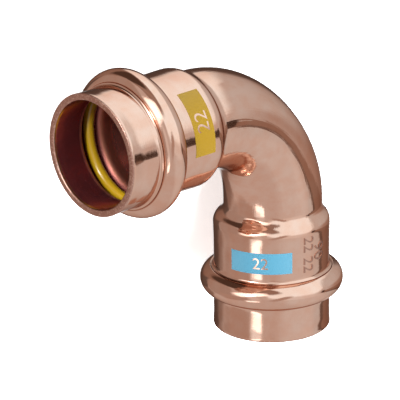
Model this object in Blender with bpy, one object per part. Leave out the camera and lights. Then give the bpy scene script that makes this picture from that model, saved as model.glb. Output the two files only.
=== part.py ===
"""Copper press elbow, 90 degrees, for 22 mm pipe, lying on its side as it comes to rest.

One length of copper tube makes the whole body. Both ends are widened into a socket, and each socket
has a rolled bead that holds a seal ring. The sleeve before the bead and the barrel behind it are
what the press tool closes onto the pipe, and the shoulder behind the barrel stops the pipe.

Sizes are in millimetres here, and the meshes are made in metres.
"""

import math

import bmesh
import bpy
from mathutils import Matrix, Vector

MM = 0.001

# The pipe, and the seal ring that is squeezed onto it. Until then the ring stands back from the bore.
PIPE_RADIUS = 11.0
BORE_CLEARANCE = 0.15
RING_RECESS = 0.3
RING_SECTION = 2.3
RING_CLEARANCE = 0.3

# Wall thickness of the tube in each stretch of the body.
SLEEVE_WALL = 1.45
BEAD_WALL = 1.45
BARREL_WALL = 1.35
TUBE_WALL = 1.25

# Places along a socket, measured from its mouth.
BEAD_MIDDLE = 10.55
BARREL_END = 18.6
CREST_PLACE = 23.5
SHOULDER_LENGTH = 4.1
STRAIGHT_LENGTH = 0.7

# The mouth flares a little, and its two edges are rounded.
MOUTH_FLARE = 0.1
MOUTH_FLARE_LENGTH = 2.5
MOUTH_OUTER_EDGE = 0.3
MOUTH_INNER_EDGE = 0.35

# The bead at its foot, the groove in it at the bore, and the rounded edges of both. The groove's
# front edge is crisp and its rear edge is soft.
BEAD_WIDTH = 7.0
BEAD_EDGE = 0.7
GROOVE_WIDTH = 6.8
GROOVE_FRONT_EDGE = 0.5
GROOVE_REAR_EDGE = 1.5

# How far the crest before the shoulder stands above the barrel.
CREST_RISE = 0.08

# The bend. Its radius leads from one socket's axis to the other's. The tube runs a little outside
# that line, and is drawn in towards the middle of the bend.
BEND_RADIUS = 22.4
TUBE_OFFSET = 0.45
TUBE_RADIUS = 10.65
TUBE_DRAWN_IN = 0.8

# Facets.
AROUND = 48
BEND_STEPS = 12
RING_STEPS = 12

# Radii that follow from the sizes above.
BORE_RADIUS = PIPE_RADIUS + BORE_CLEARANCE
SLEEVE_RADIUS = BORE_RADIUS + SLEEVE_WALL
BARREL_RADIUS = BORE_RADIUS + BARREL_WALL
CREST_RADIUS = BARREL_RADIUS + CREST_RISE
RING_RADIUS = BORE_RADIUS + RING_RECESS + RING_SECTION / 2
GROOVE_RADIUS = RING_SECTION / 2 + RING_CLEARANCE
BEAD_RADIUS = GROOVE_RADIUS + BEAD_WALL
SHOULDER_END = CREST_PLACE + SHOULDER_LENGTH
SOCKET_LENGTH = SHOULDER_END + STRAIGHT_LENGTH


# Profiles. A point is (distance from the mouth, radius).
def arc(centre, radius, start, end, steps):
    """Points on a circle from one angle to another, in radians, counted from the radial direction."""
    angles = [start + (end - start) * i / steps for i in range(steps + 1)]
    return [(centre[0] + radius * math.sin(a), centre[1] + radius * math.cos(a)) for a in angles]


def bulge(levels, edges, radius, width, edge_steps, steps):
    """A bulge round the seal ring's middle, with straight flanks down to rounded edges.

    The levels before and after it come as a pair, and so do the radii of its front and rear edge.
    """
    centres = []
    turns = []
    for side, level, edge in zip((-1, 1), levels, edges):
        reach, height = side * width / 2, level + edge - RING_RADIUS
        lean = math.acos(min((radius + edge) / math.hypot(reach, height), 1))
        centres.append((BEAD_MIDDLE + reach, level + edge))
        turns.append(math.atan2(reach, height) - side * lean)
    rise = arc(centres[0], edges[0], math.pi, turns[0] + math.pi, edge_steps)
    crown = arc((BEAD_MIDDLE, RING_RADIUS), radius, turns[0], turns[1], steps)
    fall = arc(centres[1], edges[1], turns[1] + math.pi, math.pi, edge_steps)
    return rise + crown + fall


def s_curve(start, end, steps):
    """Two equal arcs that lead from one level to another and leave both level."""
    run, climb = end[0] - start[0], end[1] - start[1]
    turn = 2 * math.atan(abs(climb) / run)
    radius = run / (2 * math.sin(turn))
    half = []
    for i in range(steps + 1):
        angle = turn * i / steps
        half.append((radius * math.sin(angle), math.copysign(radius * (1 - math.cos(angle)), climb)))
    rising = [(start[0] + x, start[1] + y) for x, y in half]
    settling = [(end[0] - x, end[1] - y) for x, y in reversed(half)]
    return rising + settling[1:]


def outer_profile():
    """The outside of a socket, from its mouth to the tube."""
    edge_centre = (MOUTH_OUTER_EDGE, SLEEVE_RADIUS + MOUTH_FLARE - MOUTH_OUTER_EDGE)
    mouth = arc(edge_centre, MOUTH_OUTER_EDGE, -math.pi / 2, 0, 2)
    mouth.append((MOUTH_FLARE_LENGTH, SLEEVE_RADIUS))
    bead_levels = (SLEEVE_RADIUS, BARREL_RADIUS)
    bead = bulge(bead_levels, (BEAD_EDGE, BEAD_EDGE), BEAD_RADIUS, BEAD_WIDTH, 2, 8)
    crest = s_curve((BARREL_END, BARREL_RADIUS), (CREST_PLACE, CREST_RADIUS), 1)
    shoulder = s_curve((CREST_PLACE, CREST_RADIUS), (SHOULDER_END, TUBE_RADIUS), 3)
    return mouth + bead + crest + shoulder[1:]


def inner_profile():
    """The inside of a socket, from its mouth past the groove and the pipe stop to the tube."""
    edge_centre = (MOUTH_INNER_EDGE, BORE_RADIUS + MOUTH_FLARE + MOUTH_INNER_EDGE)
    mouth = arc(edge_centre, MOUTH_INNER_EDGE, -math.pi / 2, -math.pi, 1)
    mouth.append((MOUTH_FLARE_LENGTH, BORE_RADIUS))
    groove_levels = (BORE_RADIUS, BORE_RADIUS)
    groove_edges = (GROOVE_FRONT_EDGE, GROOVE_REAR_EDGE)
    groove = bulge(groove_levels, groove_edges, GROOVE_RADIUS, GROOVE_WIDTH, 3, 5)
    stop = s_curve((CREST_PLACE, BORE_RADIUS), (SHOULDER_END, TUBE_RADIUS - TUBE_WALL), 3)
    return mouth + groove + stop


# Cross-sections. The bend lies in the XY plane with its centre at the origin, the first socket's
# mouth looks along -X and the second's along -Y. A section is (centre, outward, radius): a circle
# upright on the bend's plane, where outward is the way across it to the outside of the bend.
def mouth_centre(socket):
    """The middle of a socket's mouth."""
    if socket == 0:
        return Vector((-SOCKET_LENGTH, BEND_RADIUS, 0))
    return Vector((BEND_RADIUS, -SOCKET_LENGTH, 0))


def inward(socket):
    """The way into a socket, along its axis."""
    return Vector((1, 0, 0)) if socket == 0 else Vector((0, 1, 0))


def socket_sections(socket, profile):
    """A socket's sections, from its mouth inwards. The shoulder leads over to the tube's own line."""
    outward = inward(1 - socket)
    sections = []
    for place, radius in profile:
        share = min(max((place - CREST_PLACE) / SHOULDER_LENGTH, 0), 1)
        offset = TUBE_OFFSET * share * share * (3 - 2 * share)
        centre = mouth_centre(socket) + inward(socket) * place + outward * offset
        sections.append((centre, outward, radius))
    return sections


def bend_sections(radius):
    """The bend's sections, from the first socket to the second."""
    sections = []
    for i in range(BEND_STEPS + 1):
        share = i / BEND_STEPS
        turn = math.pi / 2 * (1 - share)
        outward = Vector((math.cos(turn), math.sin(turn), 0))
        drawn_in = TUBE_DRAWN_IN * math.sin(math.pi * share) ** 2
        sections.append((outward * (BEND_RADIUS + TUBE_OFFSET), outward, radius - drawn_in))
    return sections


def skin(profile, tube_radius):
    """All sections of one face of the wall, from mouth to mouth."""
    first = socket_sections(0, profile)
    second = socket_sections(1, profile)
    return first + bend_sections(tube_radius) + second[::-1]


def section_points(section):
    """The points round a section."""
    centre, outward, radius = section
    points = []
    for i in range(AROUND):
        angle = 2 * math.pi * i / AROUND
        around = outward * math.cos(angle) + Vector((0, 0, math.sin(angle)))
        points.append((centre + around * radius) * MM)
    return points


# Meshes.
def loft(name, rings):
    """A closed mesh through rings of points, where the last ring joins the first."""
    mesh = bmesh.new()
    loops = [[mesh.verts.new(point) for point in ring] for ring in rings]
    for near, far in zip(loops, loops[1:] + loops[:1]):
        for i in range(len(near)):
            j = (i + 1) % len(near)
            mesh.faces.new((near[i], near[j], far[j], far[i]))
    bmesh.ops.recalc_face_normals(mesh, faces=mesh.faces)
    data = bpy.data.meshes.new(name)
    mesh.to_mesh(data)
    mesh.free()
    data.shade_smooth()
    data.set_sharp_from_angle(angle=math.radians(35))
    return data


def body_mesh():
    """The bent tube with its two sockets: the outside one way, the inside back again."""
    outside = skin(outer_profile(), TUBE_RADIUS)
    inside = skin(inner_profile(), TUBE_RADIUS - TUBE_WALL)
    return loft("elbow_body", [section_points(section) for section in outside + inside[::-1]])


def ring_mesh():
    """A seal ring round the Z axis."""
    rings = []
    for i in range(RING_STEPS):
        angle = 2 * math.pi * (i + 0.5) / RING_STEPS
        radius = RING_RADIUS + RING_SECTION / 2 * math.cos(angle)
        height = RING_SECTION / 2 * math.sin(angle)
        rings.append(section_points((Vector((0, 0, 0)), Vector((1, 0, 0)), radius)))
        for point in rings[-1]:
            point.y, point.z = point.z, height * MM
    return loft("seal_ring", rings)


# The resting attitude. On its side the elbow stands on its two beads and leans back until the
# bend meets the floor too.
def lowest(sections, lean):
    """How far below the bend's plane these sections reach when the elbow leans back."""
    corner = Vector((1, 1, 0)).normalized()
    down = corner * math.sin(lean) - Vector((0, 0, 1)) * math.cos(lean)
    reach = []
    for centre, outward, radius in sections:
        reach.append(centre.dot(down) + radius * math.hypot(outward.dot(down), down.z))
    return max(reach)


def resting_lean():
    """The lean at which beads and bend are level with each other, found by halving."""
    sockets = socket_sections(0, outer_profile())
    bend = bend_sections(TUBE_RADIUS)
    low, high = -math.pi / 4, math.pi / 4
    while high - low > 1e-6:
        middle = (low + high) / 2
        if lowest(bend, middle) < lowest(sockets, middle):
            low = middle
        else:
            high = middle
    return low


def resting_matrix(mesh):
    """Places the elbow on the floor at its lean, with the middle of its outline at the origin."""
    turn = Matrix.Rotation(resting_lean(), 4, Vector((-1, 1, 0)))
    points = [turn @ vertex.co for vertex in mesh.vertices]
    low = [min(point[axis] for point in points) for axis in range(3)]
    high = [max(point[axis] for point in points) for axis in range(3)]
    middle = Vector(((low[0] + high[0]) / 2, (low[1] + high[1]) / 2, low[2]))
    return Matrix.Translation(-middle) @ turn


# Materials and objects.
def material(name, colour, roughness, metallic):
    """A plain surface."""
    made = bpy.data.materials.new(name)
    made.use_nodes = True
    surface = made.node_tree.nodes["Principled BSDF"]
    surface.inputs["Base Color"].default_value = (*colour, 1)
    surface.inputs["Roughness"].default_value = roughness
    surface.inputs["Metallic"].default_value = metallic
    return made


def add(name, mesh, parent):
    """An object that shows a mesh, held by a parent."""
    placed = bpy.data.objects.new(name, mesh)
    bpy.context.scene.collection.objects.link(placed)
    placed.parent = parent
    return placed


def add_seal_ring(name, mesh, socket, parent):
    """A seal ring, seated in a socket's groove."""
    placed = add(name, mesh, parent)
    placed.location = (mouth_centre(socket) + inward(socket) * BEAD_MIDDLE) * MM
    placed.rotation_mode = "QUATERNION"
    placed.rotation_quaternion = inward(socket).to_track_quat("Z", "Y")
    return placed


def main():
    for old in list(bpy.data.objects):
        bpy.data.objects.remove(old)
    body = body_mesh()
    body.materials.append(material("copper", (0.80, 0.46, 0.34), 0.18, 1.0))
    ring = ring_mesh()
    ring.materials.append(material("yellow_rubber", (0.72, 0.50, 0.03), 0.35, 0.0))

    rest = add("resting_attitude", None, None)
    rest.matrix_world = resting_matrix(body)
    add("elbow_body", body, rest)
    add_seal_ring("left_seal_ring", ring, 0, rest)
    add_seal_ring("front_seal_ring", ring, 1, rest)


main()
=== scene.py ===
"""Looks of the copper press elbow: its fine skin, its seal rings, its print and the studio around it.

Lengths are in millimetres and become metres where they reach a mesh. The elbow is drawn with the
centre of its bend at the origin and the bend in the XY plane, and is then laid down as it rests.
"""

import math

import bmesh
import bpy
from mathutils import Matrix, Quaternion, Vector


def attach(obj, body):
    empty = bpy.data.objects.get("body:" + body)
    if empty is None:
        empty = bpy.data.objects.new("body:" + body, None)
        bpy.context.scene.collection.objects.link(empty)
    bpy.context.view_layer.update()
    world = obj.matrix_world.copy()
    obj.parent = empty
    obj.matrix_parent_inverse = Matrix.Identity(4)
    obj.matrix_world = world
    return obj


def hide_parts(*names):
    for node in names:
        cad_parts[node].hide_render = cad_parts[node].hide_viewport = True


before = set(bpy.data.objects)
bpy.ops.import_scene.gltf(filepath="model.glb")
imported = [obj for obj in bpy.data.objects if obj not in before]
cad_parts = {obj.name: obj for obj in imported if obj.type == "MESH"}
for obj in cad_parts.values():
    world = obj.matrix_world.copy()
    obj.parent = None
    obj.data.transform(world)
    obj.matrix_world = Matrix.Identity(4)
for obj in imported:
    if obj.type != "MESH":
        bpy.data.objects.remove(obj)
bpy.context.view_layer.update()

MM = 0.001

# Driving sizes of the elbow, as in the part.
PIPE_RADIUS = 11.0
BORE_CLEARANCE = 0.15
RING_RECESS = 0.3
RING_SECTION = 2.3
RING_CLEARANCE = 0.3
SLEEVE_WALL = 1.45
BEAD_WALL = 1.45
BARREL_WALL = 1.35
TUBE_WALL = 1.25
MOUTH_FLARE = 0.1
MOUTH_FLARE_LENGTH = 2.5
MOUTH_OUTER_EDGE = 0.3
MOUTH_INNER_EDGE = 0.35
BEAD_MIDDLE = 10.55
BEAD_WIDTH = 7.0
BEAD_EDGE = 0.7
GROOVE_WIDTH = 6.8
GROOVE_FRONT_EDGE = 0.5
GROOVE_REAR_EDGE = 1.5
BARREL_END = 18.6
CREST_PLACE = 23.5
CREST_RISE = 0.08
SHOULDER_LENGTH = 4.1
STRAIGHT_LENGTH = 0.7
BEND_RADIUS = 22.4
TUBE_OFFSET = 0.45
TUBE_RADIUS = 10.65
TUBE_DRAWN_IN = 0.8

# Sizes that follow from them.
BORE_RADIUS = PIPE_RADIUS + BORE_CLEARANCE
SLEEVE_RADIUS = BORE_RADIUS + SLEEVE_WALL
BARREL_RADIUS = BORE_RADIUS + BARREL_WALL
CREST_RADIUS = BARREL_RADIUS + CREST_RISE
RING_RADIUS = BORE_RADIUS + RING_RECESS + RING_SECTION / 2
GROOVE_RADIUS = RING_SECTION / 2 + RING_CLEARANCE
BEAD_RADIUS = GROOVE_RADIUS + BEAD_WALL
SHOULDER_END = CREST_PLACE + SHOULDER_LENGTH
SOCKET_LENGTH = SHOULDER_END + STRAIGHT_LENGTH
MOUTH_TO_MIDDLE = SOCKET_LENGTH + BEND_RADIUS * math.pi / 4

# How the elbow rests: its lean in degrees and where the centre of its bend comes to stand.
RESTING_LEAN = 15.9353256
BEND_CENTRE = (-3.58503, -3.58503, 16.1222)

# How fine the skin is: points round a section, the longest step along it, and steps in each curve.
AROUND = 192
SPACING = 0.6
MOUTH_STEPS = 5
BEAD_EDGE_STEPS = 6
BEAD_STEPS = 26
GROOVE_EDGE_STEPS = 7
GROOVE_STEPS = 14
CREST_STEPS = 3
SHOULDER_STEPS = 8
STOP_STEPS = 6
BEND_STEPS = 56
RING_AROUND = 256
RING_STEPS = 40
TINY = 1e-6

# Printed fields and pressed numbers: the socket, the angle round it from the outside of the bend up
# to +Z, the place from its mouth, for a field its length and width, the number, and its text size.
YELLOW_FIELD = (0, 66.3, 19.7, 13.9, 5.3, "22", 4.6)
BLUE_FIELD = (1, 146, 18.0, 13.75, 4.7, "22", 3.6)
SIZE_STAMP = (1, 96, 19.2, "22 22", 3.6)
ANGLE_STAMP = (1, 81.5, 19.2, "90", 4.2)
INK_HEIGHT = 0.03
STAMP_HEIGHT = 0.12
PRINT_DEPTH = 0.1
PRINT_SPACING = 0.35
NUMBER_STEPS = 6
WELD_DISTANCE = 1e-5
SHARP_ANGLE = 40

# Where the copper changes its look, each from its full strength to its end. The first two are
# distances from the mouth, the others distances from the groove's front and rear line.
CUT_END = (0.1, 0.4)
DEEP_BORE = (16, 13)
# The next range fades a painted highlight along the groove's front line, and the last one fades painted
# shade on the groove's rear flank.
PAINTED_HIGHLIGHT_EDGE = (0.25, 0.45)
REAR_FLANK = (1.0, 1.8)

# Colours, as linear red, green and blue.
FRESH_COPPER = (0.94, 0.60, 0.46)
PALE_COPPER = (0.96, 0.67, 0.54)
AGED_COPPER = (0.43, 0.12, 0.13)
DEEP_COPPER = (0.72, 0.34, 0.27)
# Painted highlight: a lighter line along the groove's front edge in the bore.
PAINTED_HIGHLIGHT_COPPER = (0.85, 0.48, 0.38)
# Painted shade: a darker colour on the groove's rear flank in the bore.
PAINTED_SHADE_FLANK_COPPER = (0.40, 0.16, 0.11)
SAWN_COPPER = (0.58, 0.33, 0.26)
NICKED_COPPER = (0.86, 0.60, 0.50)
DARK_STAMP = (0.44, 0.25, 0.19)
LIGHT_STAMP = (0.74, 0.48, 0.39)
COPPER_EDGE_TINT = (0.55, 0.45, 0.42)
YELLOW_RUBBER = (0.28, 0.17, 0.006)
YELLOW_INK = (0.178, 0.106, 0.002)
BLUE_INK = (0.038, 0.146, 0.214)

# The camera.
CAMERA_PLACE = (-266.0432, 255.1897, 386.6922)
CAMERA_TURN = (0.925194, -0.257035, -0.278529, -0.019262)
CAMERA_LENS = 225.52
CAMERA_SENSOR = 36.0
CAMERA_NEAR = 10
CAMERA_FAR = 20000

# Two lamps that no shiny surface shows. They light the floor, the inks and the rubber. The key lamp
# is placed in the axes that the elbow has before it is laid down.
OVERHEAD_PLACE = (250, -250, 1000)
OVERHEAD_SIZE = 1000
OVERHEAD_POWER = 30
KEY_WAY = (-0.80, 0.50, 0.33)
KEY_DISTANCE = 600
KEY_SIZE = 100
KEY_POWER = 4.6

# The floor's half width, and how far it lies below the height that the elbow rests at.
FLOOR_REACH = 3000
FLOOR_GAP = 0.02


# Profiles, as in the part but finer. A point is (distance from the mouth, radius).
def arc(centre, radius, start, end, steps):
    """Points on a circle from one angle to another, in radians, counted from the radial direction."""
    angles = [start + (end - start) * i / steps for i in range(steps + 1)]
    return [(centre[0] + radius * math.sin(a), centre[1] + radius * math.cos(a)) for a in angles]


def bulge(levels, edges, radius, width, edge_steps, steps):
    """A bulge round the seal ring's middle, with straight flanks down to rounded edges.

    The levels before and after it come as a pair, and so do the radii of its front and rear edge.
    """
    centres = []
    turns = []
    for side, level, edge in zip((-1, 1), levels, edges):
        reach, height = side * width / 2, level + edge - RING_RADIUS
        lean = math.acos(min((radius + edge) / math.hypot(reach, height), 1))
        centres.append((BEAD_MIDDLE + reach, level + edge))
        turns.append(math.atan2(reach, height) - side * lean)
    rise = arc(centres[0], edges[0], math.pi, turns[0] + math.pi, edge_steps)
    crown = arc((BEAD_MIDDLE, RING_RADIUS), radius, turns[0], turns[1], steps)
    fall = arc(centres[1], edges[1], turns[1] + math.pi, math.pi, edge_steps)
    return rise + crown + fall


def s_curve(start, end, steps):
    """Two equal arcs that lead from one level to another and leave both level."""
    run, climb = end[0] - start[0], end[1] - start[1]
    turn = 2 * math.atan(abs(climb) / run)
    radius = run / (2 * math.sin(turn))
    half = []
    for i in range(steps + 1):
        angle = turn * i / steps
        half.append((radius * math.sin(angle), math.copysign(radius * (1 - math.cos(angle)), climb)))
    rising = [(start[0] + x, start[1] + y) for x, y in half]
    settling = [(end[0] - x, end[1] - y) for x, y in reversed(half)]
    return rising + settling[1:]


def filled(points):
    """The same profile with points added where two lie far apart."""
    made = [points[0]]
    for start, end in zip(points, points[1:]):
        length = math.dist(start, end)
        if length < TINY:
            continue
        steps = math.ceil(length / SPACING)
        for i in range(1, steps + 1):
            share = i / steps
            made.append(tuple(a + (b - a) * share for a, b in zip(start, end)))
    return made


def outer_profile():
    """The outside of a socket, from its mouth to the tube."""
    edge_centre = (MOUTH_OUTER_EDGE, SLEEVE_RADIUS + MOUTH_FLARE - MOUTH_OUTER_EDGE)
    mouth = arc(edge_centre, MOUTH_OUTER_EDGE, -math.pi / 2, 0, MOUTH_STEPS)
    mouth.append((MOUTH_FLARE_LENGTH, SLEEVE_RADIUS))
    levels = (SLEEVE_RADIUS, BARREL_RADIUS)
    edges = (BEAD_EDGE, BEAD_EDGE)
    bead = bulge(levels, edges, BEAD_RADIUS, BEAD_WIDTH, BEAD_EDGE_STEPS, BEAD_STEPS)
    crest = s_curve((BARREL_END, BARREL_RADIUS), (CREST_PLACE, CREST_RADIUS), CREST_STEPS)
    shoulder = s_curve((CREST_PLACE, CREST_RADIUS), (SHOULDER_END, TUBE_RADIUS), SHOULDER_STEPS)
    return filled(mouth + bead + crest + shoulder[1:] + [(SOCKET_LENGTH, TUBE_RADIUS)])[:-1]


def inner_profile():
    """The inside of a socket, from its mouth past the groove and the pipe stop to the tube."""
    edge_centre = (MOUTH_INNER_EDGE, BORE_RADIUS + MOUTH_FLARE + MOUTH_INNER_EDGE)
    mouth = arc(edge_centre, MOUTH_INNER_EDGE, -math.pi / 2, -math.pi, MOUTH_STEPS)
    mouth.append((MOUTH_FLARE_LENGTH, BORE_RADIUS))
    levels = (BORE_RADIUS, BORE_RADIUS)
    edges = (GROOVE_FRONT_EDGE, GROOVE_REAR_EDGE)
    groove = bulge(levels, edges, GROOVE_RADIUS, GROOVE_WIDTH, GROOVE_EDGE_STEPS, GROOVE_STEPS)
    tube = TUBE_RADIUS - TUBE_WALL
    stop = s_curve((CREST_PLACE, BORE_RADIUS), (SHOULDER_END, tube), STOP_STEPS)
    return filled(mouth + groove + stop + [(SOCKET_LENGTH, tube)])[:-1]


# Cross-sections. A section is (centre, outward, radius, run): a circle upright on the bend's plane,
# where outward is the way across it to the outside of the bend and run is the way along the tube.
def mouth_centre(socket):
    """The middle of a socket's mouth."""
    if socket == 0:
        return Vector((-SOCKET_LENGTH, BEND_RADIUS, 0))
    return Vector((BEND_RADIUS, -SOCKET_LENGTH, 0))


def inward(socket):
    """The way into a socket, along its axis."""
    return Vector((1, 0, 0)) if socket == 0 else Vector((0, 1, 0))


def socket_sections(socket, profile):
    """A socket's sections, from its mouth inwards. The shoulder leads over to the tube's own line."""
    outward = inward(1 - socket)
    side = -1 if socket == 0 else 1
    sections = []
    for place, radius in profile:
        share = min(max((place - CREST_PLACE) / SHOULDER_LENGTH, 0), 1)
        offset = TUBE_OFFSET * share * share * (3 - 2 * share)
        centre = mouth_centre(socket) + inward(socket) * place + outward * offset
        run = side * (MOUTH_TO_MIDDLE - place)
        sections.append((centre, outward, radius, run))
    return sections


def bend_sections(radius):
    """The bend's sections, from the first socket to the second."""
    sections = []
    for i in range(BEND_STEPS + 1):
        share = i / BEND_STEPS
        turn = math.pi / 2 * (1 - share)
        outward = Vector((math.cos(turn), math.sin(turn), 0))
        drawn_in = TUBE_DRAWN_IN * math.sin(math.pi * share) ** 2
        centre = outward * (BEND_RADIUS + TUBE_OFFSET)
        run = BEND_RADIUS * (math.pi / 4 - turn)
        sections.append((centre, outward, radius - drawn_in, run))
    return sections


def skin(profile, tube_radius):
    """All sections of one face of the wall, from mouth to mouth."""
    first = socket_sections(0, profile)
    second = socket_sections(1, profile)
    return first + bend_sections(tube_radius) + second[::-1]


# Meshes.
def resting():
    """Lays a piece down as the elbow rests."""
    turn = Matrix.Rotation(math.radians(RESTING_LEAN), 4, Vector((-1, 1, 0)))
    return Matrix.Translation(Vector(BEND_CENTRE) * MM) @ turn


def grid_faces(rows, columns):
    """Faces of a grid that closes on itself both ways."""
    faces = []
    for i in range(rows):
        k = (i + 1) % rows
        for j in range(columns):
            m = (j + 1) % columns
            faces.append((i * columns + j, i * columns + m, k * columns + m, k * columns + j))
    return faces


def mesh_of(name, points, faces):
    """A smooth mesh whose faces look outwards."""
    data = bpy.data.meshes.new(name)
    data.from_pydata([tuple(point * MM) for point in points], [], faces)
    mesh = bmesh.new()
    mesh.from_mesh(data)
    bmesh.ops.recalc_face_normals(mesh, faces=mesh.faces)
    mesh.to_mesh(data)
    mesh.free()
    data.shade_smooth()
    return data


def body_mesh():
    """The bent tube with its two sockets.

    Every point also keeps its place on the unrolled tube, and how far it is within the mouth's edge.
    """
    outside = skin(outer_profile(), TUBE_RADIUS)
    inside = skin(inner_profile(), TUBE_RADIUS - TUBE_WALL)[::-1]
    points = []
    tube_places = []
    for centre, outward, radius, run in outside + inside:
        for i in range(AROUND):
            angle = 2 * math.pi * i / AROUND
            around = outward * math.cos(angle) + Vector((0, 0, math.sin(angle)))
            points.append(centre + around * radius)
            tube_places += [radius * math.cos(angle), radius * math.sin(angle), run]
    data = mesh_of("elbow_skin", points, grid_faces(len(outside) + len(inside), AROUND))
    kept = data.attributes.new("tube_place", "FLOAT_VECTOR", "POINT")
    kept.data.foreach_set("vector", tube_places)
    within = [0.0] * (len(outside) * AROUND)
    for *_, run in inside:
        from_mouth = MOUTH_TO_MIDDLE - abs(run)
        within += [min(max((from_mouth - MOUTH_INNER_EDGE) / MOUTH_INNER_EDGE, 0.0), 1.0)] * AROUND
    data.attributes.new("within", "FLOAT", "POINT").data.foreach_set("value", within)
    return data


def ring_mesh(name, socket):
    """A seal ring in a socket's groove."""
    middle = mouth_centre(socket) + inward(socket) * BEAD_MIDDLE
    across = inward(1 - socket)
    points = []
    for i in range(RING_STEPS):
        turn = 2 * math.pi * i / RING_STEPS
        radius = RING_RADIUS + RING_SECTION / 2 * math.cos(turn)
        height = inward(socket) * (RING_SECTION / 2 * math.sin(turn))
        for j in range(RING_AROUND):
            angle = 2 * math.pi * j / RING_AROUND
            around = across * math.cos(angle) + Vector((0, 0, math.sin(angle)))
            points.append(middle + around * radius + height)
    return mesh_of(name, points, grid_faces(RING_STEPS, RING_AROUND))


def placed(name, data, made_of, replaced=None):
    """A piece of the elbow, laid down as it rests, that rides on the elbow's body."""
    piece = bpy.data.objects.new(name, data)
    bpy.context.scene.collection.objects.link(piece)
    data.transform(resting())
    data.materials.clear()
    data.materials.append(made_of)
    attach(piece, "root")
    if replaced:
        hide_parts(replaced)
    return piece


# Print. It is drawn flat, x across the socket and y along it, and is then laid round the barrel.
def outline_of(text, size, turn):
    """The outline of a number, middled on the origin."""
    curve = bpy.data.curves.new("number", "FONT")
    curve.body = text
    curve.size = size
    curve.align_x = "CENTER"
    curve.align_y = "CENTER"
    curve.resolution_u = NUMBER_STEPS
    curve.fill_mode = "NONE"
    shown = bpy.data.objects.new("number", curve)
    data = bpy.data.meshes.new_from_object(shown)
    bpy.data.objects.remove(shown)
    bpy.data.curves.remove(curve)
    mesh = bmesh.new()
    mesh.from_mesh(data)
    bpy.data.meshes.remove(data)
    bmesh.ops.remove_doubles(mesh, verts=mesh.verts, dist=WELD_DISTANCE)
    low = [min(v.co[axis] for v in mesh.verts) for axis in range(2)]
    high = [max(v.co[axis] for v in mesh.verts) for axis in range(2)]
    middle = Vector(((low[0] + high[0]) / 2, (low[1] + high[1]) / 2, 0))
    for vertex in mesh.verts:
        vertex.co -= middle
        vertex.co.rotate(Matrix.Rotation(turn, 3, "Z"))
    return mesh


def raised(mesh, low, high):
    """Fills flat outlines, cuts them into strips that can follow a barrel, and gives them thickness."""
    bmesh.ops.triangle_fill(mesh, use_beauty=True, use_dissolve=False, edges=mesh.edges)
    reach = max(abs(v.co.x) for v in mesh.verts)
    steps = math.ceil(reach / PRINT_SPACING)
    for i in range(-steps, steps + 1):
        parts = mesh.verts[:] + mesh.edges[:] + mesh.faces[:]
        plane = Vector((reach * i / steps, 0, 0))
        bmesh.ops.bisect_plane(mesh, geom=parts, plane_co=plane, plane_no=Vector((1, 0, 0)))
    flat = mesh.faces[:]
    made = bmesh.ops.extrude_face_region(mesh, geom=flat, use_keep_orig=True)["geom"]
    for vertex in mesh.verts:
        vertex.co.z = low
    for vertex in made:
        if isinstance(vertex, bmesh.types.BMVert):
            vertex.co.z = high
    bmesh.ops.recalc_face_normals(mesh, faces=mesh.faces)


def barrel_radius(profile, place):
    """The outside of a barrel at a place along the socket."""
    for start, end in zip(profile, profile[1:]):
        if start[0] <= place <= end[0] and place > BEAD_MIDDLE:
            share = (place - start[0]) / max(end[0] - start[0], TINY)
            return start[1] + (end[1] - start[1]) * share
    return BARREL_RADIUS


def wrapped(mesh, name, socket, angle, place):
    """Lays a flat piece round a socket's barrel, with its middle at an angle and a place."""
    side = -1 if socket == 0 else 1
    outward = inward(1 - socket)
    profile = outer_profile()
    for vertex in mesh.verts:
        x, y, height = vertex.co
        along = place + side * y
        radius = barrel_radius(profile, along)
        turn = math.radians(angle) - x / BARREL_RADIUS
        around = outward * math.cos(turn) + Vector((0, 0, math.sin(turn)))
        vertex.co = mouth_centre(socket) + inward(socket) * along + around * (radius + height)
    bmesh.ops.recalc_face_normals(mesh, faces=mesh.faces)
    data = bpy.data.meshes.new(name)
    for vertex in mesh.verts:
        vertex.co *= MM
    mesh.to_mesh(data)
    mesh.free()
    data.shade_smooth()
    data.set_sharp_from_angle(angle=math.radians(SHARP_ANGLE))
    return data


def patch_mesh(name, socket, angle, place, length, width, text, size):
    """A printed field round a barrel with a number left out of it."""
    mesh = outline_of(text, size, 0)
    corners = [(-1, -1), (1, -1), (1, 1), (-1, 1)]
    verts = [mesh.verts.new((x * length / 2, y * width / 2, 0)) for x, y in corners]
    for start, end in zip(verts, verts[1:] + verts[:1]):
        mesh.edges.new((start, end))
    raised(mesh, -PRINT_DEPTH, INK_HEIGHT)
    return wrapped(mesh, name, socket, angle, place)


def stamp_mesh(name, socket, angle, place, text, size):
    """A raised number that reads along a barrel."""
    mesh = outline_of(text, size, -math.pi / 2)
    raised(mesh, -PRINT_DEPTH, STAMP_HEIGHT)
    return wrapped(mesh, name, socket, angle, place)


# Materials.
def put(tree, kind, inputs=None, **settings):
    """Adds a node. An input is given as a value or as another node's output."""
    made = tree.nodes.new(kind)
    for name, value in settings.items():
        setattr(made, name, value)
    for name, value in (inputs or {}).items():
        if isinstance(value, bpy.types.NodeSocket):
            tree.links.new(value, made.inputs[name])
        else:
            made.inputs[name].default_value = value
    return made


def surface(name, colour, roughness, metallic=0.0):
    """A material with its Principled node, for others to add to."""
    made = bpy.data.materials.new(name)
    made.use_nodes = True
    made.diffuse_color = (*colour, 1)
    main = made.node_tree.nodes["Principled BSDF"]
    main.inputs["Base Color"].default_value = (*colour, 1)
    main.inputs["Roughness"].default_value = roughness
    main.inputs["Metallic"].default_value = metallic
    return made, made.node_tree, main


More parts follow.
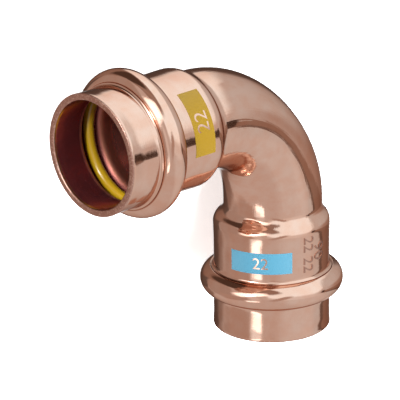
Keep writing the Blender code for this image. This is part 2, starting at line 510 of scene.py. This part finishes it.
def noise(tree, place, scale, detail=2.0, roughness=0.5):
    """Noise over a vector, as a value round 0.5."""
    inputs = {"Vector": place, "Scale": scale, "Detail": detail, "Roughness": roughness}
    return put(tree, "ShaderNodeTexNoise", inputs).outputs["Fac"]


def worked(tree, operation, first, second=0.0):
    """What a sum or function makes of one or two values."""
    return put(tree, "ShaderNodeMath", {0: first, 1: second}, operation=operation).outputs[0]


def ranged(tree, value, low, high, new_low, new_high):
    """A value taken from one range to another."""
    names = ("Value", "From Min", "From Max", "To Min", "To Max")
    inputs = dict(zip(names, (value, low, high, new_low, new_high)))
    return put(tree, "ShaderNodeMapRange", inputs).outputs["Result"]


def blended(tree, share, first, second):
    """A colour between two others. Each is given as a colour or as another node's output."""
    made = put(tree, "ShaderNodeMix", {0: share}, data_type="RGBA")
    for index, colour in ((6, first), (7, second)):
        if isinstance(colour, bpy.types.NodeSocket):
            tree.links.new(colour, made.inputs[index])
        else:
            made.inputs[index].default_value = (*colour, 1)
    return made.outputs[2]


def near_line(tree, from_mouth, place, fade):
    """1 beside a line round the bore, and 0 where the fade has ended."""
    distance = worked(tree, "ABSOLUTE", worked(tree, "SUBTRACT", from_mouth, place))
    return ranged(tree, distance, *fade, 1, 0)


def copper_colour(tree, place, from_mouth, within, shaded_flank, cut):
    """Fresh outside, aged in the bore, with a painted highlight along the groove's front edge and
    painted shade on its rear flank, and nicked where it was cut.
    """
    tone = ranged(tree, noise(tree, place, scale=0.35, detail=3.0), 0.35, 0.65, 0, 1)
    fresh = blended(tree, tone, FRESH_COPPER, PALE_COPPER)
    aged = blended(tree, within, fresh, AGED_COPPER)
    deep = worked(tree, "MULTIPLY", within, ranged(tree, from_mouth, *DEEP_BORE, 1, 0))
    hidden = blended(tree, deep, aged, DEEP_COPPER)
    front_line = BEAD_MIDDLE - GROOVE_WIDTH / 2
    # A painted highlight: lighter copper along the groove's front edge.
    painted_highlight = worked(tree, "MULTIPLY", within, near_line(tree, from_mouth, front_line, PAINTED_HIGHLIGHT_EDGE))
    hidden = blended(tree, painted_highlight, hidden, PAINTED_HIGHLIGHT_COPPER)
    # Painted shade: darker copper on the groove's rear flank.
    hidden = blended(tree, shaded_flank, hidden, PAINTED_SHADE_FLANK_COPPER)
    nicks = ranged(tree, noise(tree, place, scale=3.0, detail=3.0, roughness=0.6), 0.52, 0.62, 0, 1)
    return blended(tree, cut, hidden, blended(tree, nicks, SAWN_COPPER, NICKED_COPPER))


def copper_relief(tree, place, on_socket):
    """Waves and ripples of the formed wall, drawn streaks along it, and turned lines on its sockets."""
    lengthwise, crosswise = [
        put(tree, "ShaderNodeMapping", {"Vector": place, "Scale": scale}).outputs["Vector"]
        for scale in ((1, 1, 0.06), (0.06, 0.06, 1))]
    waves = noise(tree, place, scale=0.16, detail=1.0)
    ripples = noise(tree, place, scale=0.6)
    streaks = noise(tree, lengthwise, scale=1.0, roughness=0.6)
    streaks = worked(tree, "MULTIPLY", streaks, ranged(tree, on_socket, 0, 1, 1, 0.35))
    drawn = noise(tree, lengthwise, scale=4.0, detail=3.0, roughness=0.6)
    turned = noise(tree, crosswise, scale=4.0, detail=3.0, roughness=0.6)
    inputs = {0: on_socket, 2: drawn, 3: turned}
    lines = put(tree, "ShaderNodeMix", inputs, data_type="FLOAT").outputs[0]

    normal = None
    for height, distance in ((waves, 0.02), (ripples, 0.012), (streaks, 0.03), (lines, 0.003)):
        inputs = {"Strength": 1.0, "Distance": distance * MM, "Height": height}
        bump = put(tree, "ShaderNodeBump", inputs)
        if normal:
            tree.links.new(normal, bump.inputs["Normal"])
        normal = bump.outputs["Normal"]
    return normal


def copper():
    """Polished copper with fine lines, darker and redder inside and duller on its cut ends, with a
    painted highlight along the groove's front edge and painted shade on the groove's rear flank.
    """
    made, tree, main = surface("polished_copper", (0.93, 0.62, 0.50), roughness=0.08, metallic=1.0)
    place = put(tree, "ShaderNodeAttribute", attribute_name="tube_place").outputs["Vector"]
    within = put(tree, "ShaderNodeAttribute", attribute_name="within").outputs["Fac"]
    run = put(tree, "ShaderNodeSeparateXYZ", {"Vector": place}).outputs["Z"]
    from_mouth = worked(tree, "SUBTRACT", MOUTH_TO_MIDDLE, worked(tree, "ABSOLUTE", run))
    on_socket = ranged(tree, from_mouth, CREST_PLACE, SOCKET_LENGTH, 1, 0)
    cut = ranged(tree, from_mouth, *CUT_END, 1, 0)
    rear_line = BEAD_MIDDLE + GROOVE_WIDTH / 2
    # The groove's rear flank, where shade is painted into the colour and the copper is rougher.
    shaded_flank = worked(tree, "MULTIPLY", within, near_line(tree, from_mouth, rear_line, REAR_FLANK))

    colour = copper_colour(tree, place, from_mouth, within, shaded_flank, cut)
    tree.links.new(colour, main.inputs["Base Color"])
    main.inputs["Specular Tint"].default_value = (*COPPER_EDGE_TINT, 1)
    tree.links.new(ranged(tree, within, 0, 1, 1, 0.96), main.inputs["Metallic"])

    specks = noise(tree, place, scale=2.5, detail=4.0, roughness=0.7)
    dulled = ranged(tree, specks, 0.3, 0.8, 0.05, 0.12)
    for where, added in ((within, 0.17), (shaded_flank, 0.25), (cut, 0.30)):
        dulled = worked(tree, "ADD", dulled, worked(tree, "MULTIPLY", where, added))
    tree.links.new(dulled, main.inputs["Roughness"])
    tree.links.new(copper_relief(tree, place, on_socket), main.inputs["Normal"])
    return made


def stamped():
    """Copper that was pressed into numbers, duller and darker than the polished wall."""
    made, tree, main = surface("stamped_copper", (0.62, 0.38, 0.30), roughness=0.3, metallic=1.0)
    place = put(tree, "ShaderNodeTexCoord").outputs["Object"]
    grain = noise(tree, place, scale=1500.0, detail=3.0)
    tree.links.new(blended(tree, grain, DARK_STAMP, LIGHT_STAMP), main.inputs["Base Color"])
    tree.links.new(ranged(tree, grain, 0.3, 0.7, 0.22, 0.4), main.inputs["Roughness"])
    return made


def rubber():
    """Yellow rubber, smooth and a little shiny."""
    made, tree, main = surface("yellow_rubber", YELLOW_RUBBER, roughness=0.3)
    place = put(tree, "ShaderNodeTexCoord").outputs["Object"]
    grain = noise(tree, place, scale=900.0, detail=3.0)
    tree.links.new(ranged(tree, grain, 0.3, 0.7, 0.14, 0.20), main.inputs["Roughness"])
    main.inputs["IOR"].default_value = 1.7
    bump = put(tree, "ShaderNodeBump", {"Strength": 0.3, "Distance": 0.004 * MM, "Height": grain})
    tree.links.new(bump.outputs["Normal"], main.inputs["Normal"])
    return made


def ink(name, colour):
    """Printing ink on metal."""
    made, tree, main = surface(name, colour, roughness=0.5)
    place = put(tree, "ShaderNodeTexCoord").outputs["Object"]
    grain = noise(tree, place, scale=2500.0)
    tree.links.new(ranged(tree, grain, 0.3, 0.7, 0.42, 0.6), main.inputs["Roughness"])
    return made


# The studio. Its lights and dark cloths are soft-edged fields of the surroundings, seen from the
# elbow. They are placed by azimuth and elevation in degrees, counted from the way to the camera.
# A later field hides an earlier one. Brightness 1 is white, and warmth turns grey towards brown.
BASE_LIGHT = (0.47, 0.3)
WARM_SHIFT = (0.4, -0.1, -0.3)
# Name, azimuth, elevation, roll, half width, half height, softness, squareness, brightness, warmth.
LIGHT_FIELDS = (
    ("right table", 92, -42, 0, 62, 24, 0.4, 3, 0.57, 0.12),
    ("window", 36, 34, 0, 46, 56, 0.10, 4, 1.02, -0.15),
    ("window sill", 42, -16, 0, 40, 11, 0.6, 4, 0.66, 0.1),
    ("ceiling", 98, 78, 0, 100, 20, 0.10, 4, 1.02, -0.15),
    ("far ceiling", -168, 66, 0, 18, 18, 0.3, 4, 0.95, 0.0),
    ("right card", 128, 14, 0, 43, 42, 0.12, 2.5, 0.54, 0.05),
    ("right card's foot", 132, 3, 0, 30, 9, 0.6, 3, 0.31, 0.7),
    ("band", 121, -8, 0, 34, 6, 0.15, 4, 0.20, 1.0),
    ("band's lower line", 123, -12.5, 0, 33, 1.6, 0.6, 3, 0.11, 0.9),
    ("band's dark end", 87.5, -5.5, 0, 4.2, 6, 0.3, 2.5, 0.04, 1.2),
    ("far right cloth", 178, 25, 0, 19, 17, 0.3, 3, 0.12, 0.5),
    ("far right strip", 166, -15, 38, 19, 3, 0.35, 3, 0.95, 0.0),
    ("left cloth", -146, 18, 0, 26, 29, 0.15, 4, 0.11, 0.6),
    ("left cloth's foot", -150, -17, 0, 30, 8, 0.3, 4, 0.22, 0.6),
    ("left card", -93, 10, 0, 28, 33, 0.12, 3, 0.31, 0.55),
    ("top cloth", -78, 62, 0, 66, 20, 0.12, 4, 0.22, 0.8),
    ("top cloth's heart", -88, 61, 0, 29, 17, 0.2, 4, 0.05, 1.2),
    ("lamp's hood", -32, 46, 0, 22, 5, 0.4, 3, 0.25, 0.8),
    ("left table", -66, -24, 0, 32, 14, 0.25, 4, 0.33, 0.6),
    ("sill's shade", 14, -17, 52, 22, 8, 0.4, 3, 0.34, 0.6),
    ("lamp's tail", -30, -18, 0, 9, 16, 0.5, 3, 0.60, 0.2),
    ("lamp", -35, 12, 30, 27, 13, 0.25, 4, 1.7, 0.0),
    ("lamp's heart", -35, 10, 30, 9, 5, 0.3, 3, 20.0, 0.0),
    ("low strip's glow", -39, -37, 0, 10, 5, 0.5, 3, 0.85, 0.0),
    ("low strip", -39, -41.5, 0, 10, 3, 0.35, 3, 1.8, 0.0),
)


def glow_colour(brightness, warmth):
    """The colour of a light field."""
    return [brightness * (1 + warmth * shift) for shift in WARM_SHIFT]


def studio():
    """The light from all round."""
    world = bpy.data.worlds.new("studio")
    bpy.context.scene.world = world
    world.use_nodes = True
    tree = world.node_tree
    way = put(tree, "ShaderNodeTexCoord").outputs["Generated"]
    seen = Quaternion(CAMERA_TURN).to_matrix()

    def along(axis):
        inputs = {0: way, 1: axis}
        return put(tree, "ShaderNodeVectorMath", inputs, operation="DOT_PRODUCT").outputs["Value"]

    def share_of(angle, half, power):
        part = worked(tree, "DIVIDE", worked(tree, "ABSOLUTE", angle), math.radians(half))
        return worked(tree, "POWER", part, power)

    light = glow_colour(*BASE_LIGHT)
    for name, azimuth, elevation, roll, half_width, half_height, softness, power, *glow in LIGHT_FIELDS:
        turn = Matrix.Rotation(math.radians(azimuth), 3, "Y")
        turn = turn @ Matrix.Rotation(math.radians(-elevation), 3, "X")
        axes = (seen @ turn @ Matrix.Rotation(math.radians(roll), 3, "Z")).transposed()
        aside = share_of(worked(tree, "ARCTAN2", along(axes[0]), along(axes[2])), half_width, power)
        above = share_of(worked(tree, "ARCSINE", along(axes[1])), half_height, power)
        reach = worked(tree, "POWER", worked(tree, "ADD", aside, above), 1 / power)
        inputs = {"Value": reach, "From Min": 1 - softness, "From Max": 1 + softness,
                  "To Min": 1, "To Max": 0}
        share = put(tree, "ShaderNodeMapRange", inputs, interpolation_type="SMOOTHSTEP")
        share.label = name
        light = blended(tree, share.outputs["Result"], light, glow_colour(*glow))
    tree.links.new(light, tree.nodes["Background"].inputs["Color"])


def floor():
    """A plain pale floor."""
    mesh = bmesh.new()
    bmesh.ops.create_grid(mesh, x_segments=8, y_segments=8, size=FLOOR_REACH * MM)
    data = bpy.data.meshes.new("floor")
    mesh.to_mesh(data)
    mesh.free()
    made, _, main = surface("pale_floor", (0.9, 0.9, 0.9), roughness=0.8)
    main.inputs["Specular IOR Level"].default_value = 0.0
    main.inputs["Emission Color"].default_value = (1, 1, 1, 1)
    main.inputs["Emission Strength"].default_value = 0.6
    data.materials.append(made)
    plane = bpy.data.objects.new("floor", data)
    bpy.context.scene.collection.objects.link(plane)
    plane.location.z = -FLOOR_GAP * MM
    # The copper mirrors the light fields of the tables in its place.
    plane.visible_glossy = False


def area_light(name, place, size, power):
    """A round lamp that looks at the elbow. Shiny surfaces don't show it."""
    lamp = bpy.data.lights.new(name, "AREA")
    lamp.shape = "DISK"
    lamp.size = size * MM
    lamp.energy = power
    shown = bpy.data.objects.new(name, lamp)
    bpy.context.scene.collection.objects.link(shown)
    shown.location = place * MM
    shown.rotation_euler = place.to_track_quat("Z", "Y").to_euler()
    shown.visible_glossy = False


def camera():
    """Stands where the photo was taken."""
    data = bpy.data.cameras.new("camera")
    data.sensor_width = CAMERA_SENSOR
    data.lens = CAMERA_LENS
    data.clip_start = CAMERA_NEAR * MM
    data.clip_end = CAMERA_FAR * MM
    shown = bpy.data.objects.new("camera", data)
    bpy.context.scene.collection.objects.link(shown)
    shown.rotation_mode = "QUATERNION"
    shown.rotation_quaternion = Quaternion(CAMERA_TURN)
    shown.location = Vector(CAMERA_PLACE) * MM
    bpy.context.scene.camera = shown


def dressed():
    """All the pieces of the elbow."""
    metal = copper()
    placed("elbow_skin", body_mesh(), metal, "elbow_body")
    seal = rubber()
    placed("left_ring_skin", ring_mesh("left_ring_skin", 0), seal, "left_seal_ring")
    placed("front_ring_skin", ring_mesh("front_ring_skin", 1), seal, "front_seal_ring")

    yellow = ink("yellow_ink", YELLOW_INK)
    placed("yellow_print", patch_mesh("yellow_print", *YELLOW_FIELD), yellow)
    blue = ink("blue_ink", BLUE_INK)
    field = placed("blue_print", patch_mesh("blue_print", *BLUE_FIELD), blue)
    # The bead beside it shows no blue in the photo.
    field.visible_glossy = False
    pressed = stamped()
    placed("size_stamp", stamp_mesh("size_stamp", *SIZE_STAMP), pressed)
    placed("angle_stamp", stamp_mesh("angle_stamp", *ANGLE_STAMP), pressed)


def main():
    """Builds the elbow, its studio and its camera."""
    dressed()
    studio()
    area_light("overhead", Vector(OVERHEAD_PLACE), OVERHEAD_SIZE, OVERHEAD_POWER)
    key_way = resting().to_3x3() @ Vector(KEY_WAY).normalized()
    area_light("key", key_way * KEY_DISTANCE, KEY_SIZE, KEY_POWER)
    floor()
    camera()
    bpy.context.scene.view_settings.view_transform = "Standard"

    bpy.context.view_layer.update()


main()
